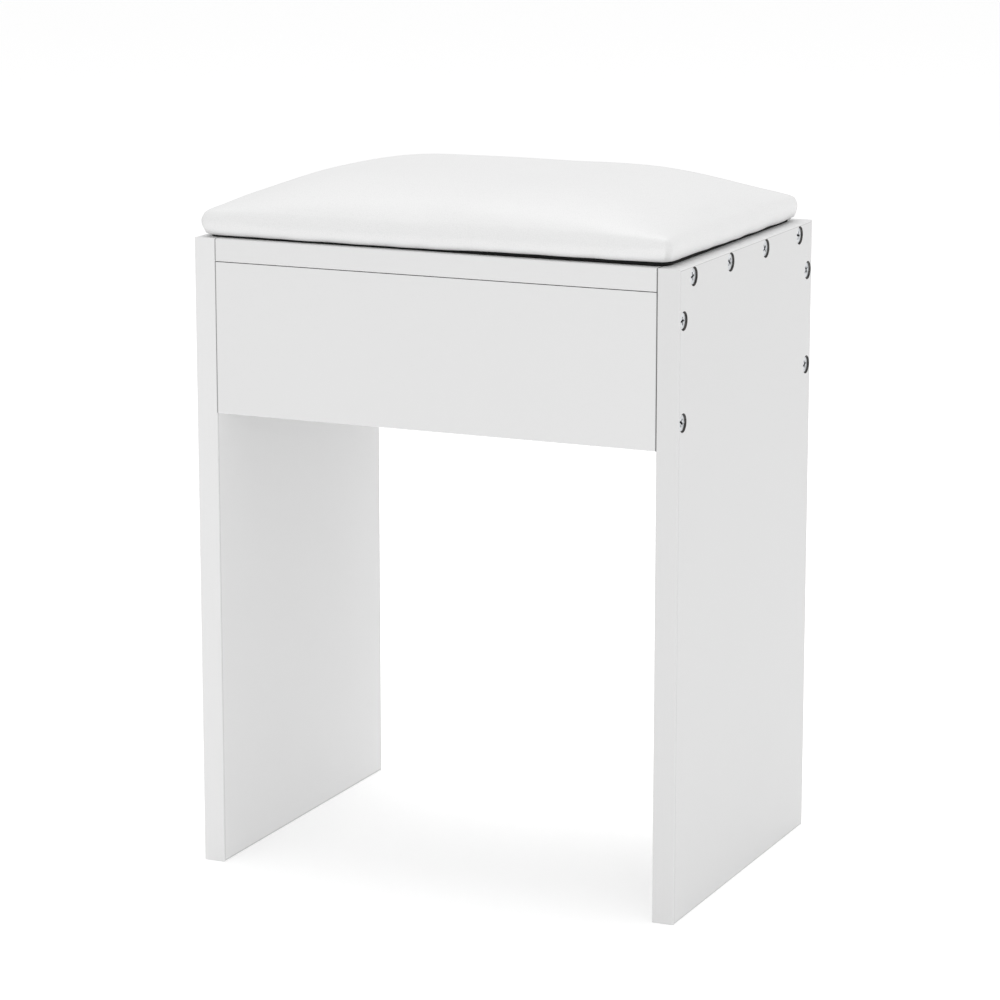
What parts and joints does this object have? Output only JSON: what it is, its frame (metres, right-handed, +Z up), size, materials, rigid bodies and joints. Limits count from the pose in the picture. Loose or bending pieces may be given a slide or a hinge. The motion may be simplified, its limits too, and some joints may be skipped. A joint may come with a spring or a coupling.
{
  "type": "padded vanity stool",
  "caption": "White board-frame vanity stool with plain side panels, aprons under the top, exposed side screws and a crowned padded seat.",
  "frame": {"origin": "middle of the stool's footprint, on the floor", "axes": "+Z up, -Y towards the front, +X towards the viewer's right when facing the front"},
  "size_m": [0.338, 0.24, 0.4612],
  "materials": {
    "melamine_board": "satin white melamine on particleboard",
    "edge_band": "satin white PVC edge band",
    "zinc_screws": "bright zinc plate",
    "plywood": "raw sanded",
    "foam": "open-cell polyurethane foam",
    "upholstery": "fine-grained white artificial leather",
    "dust_cloth": "black non-woven cloth",
    "staple_wire": "galvanised wire"
  },
  "bodies": {
    "root": {"left_side_panel": "melamine_board", "left_panel_front_band": "edge_band", "left_panel_rear_band": "edge_band", "left_panel_top_band": "edge_band", "left_panel_bottom_band": "edge_band", "left_panel_screws": "zinc_screws", "right_side_panel": "melamine_board", "right_panel_front_band": "edge_band", "right_panel_rear_band": "edge_band", "right_panel_top_band": "edge_band", "right_panel_bottom_band": "edge_band", "right_panel_screws": "zinc_screws", "top_board": "melamine_board", "top_board_front_band": "edge_band", "top_board_rear_band": "edge_band", "front_apron": "melamine_board", "front_apron_bottom_band": "edge_band", "rear_apron": "melamine_board", "rear_apron_bottom_band": "edge_band", "seat_base": "plywood", "seat_foam": "foam", "seat_cover": "upholstery", "dust_cover": "dust_cloth", "cover_staples": "staple_wire", "dust_cover_staples": "staple_wire", "seat_screws": "zinc_screws"}
  },
  "joints": []
}
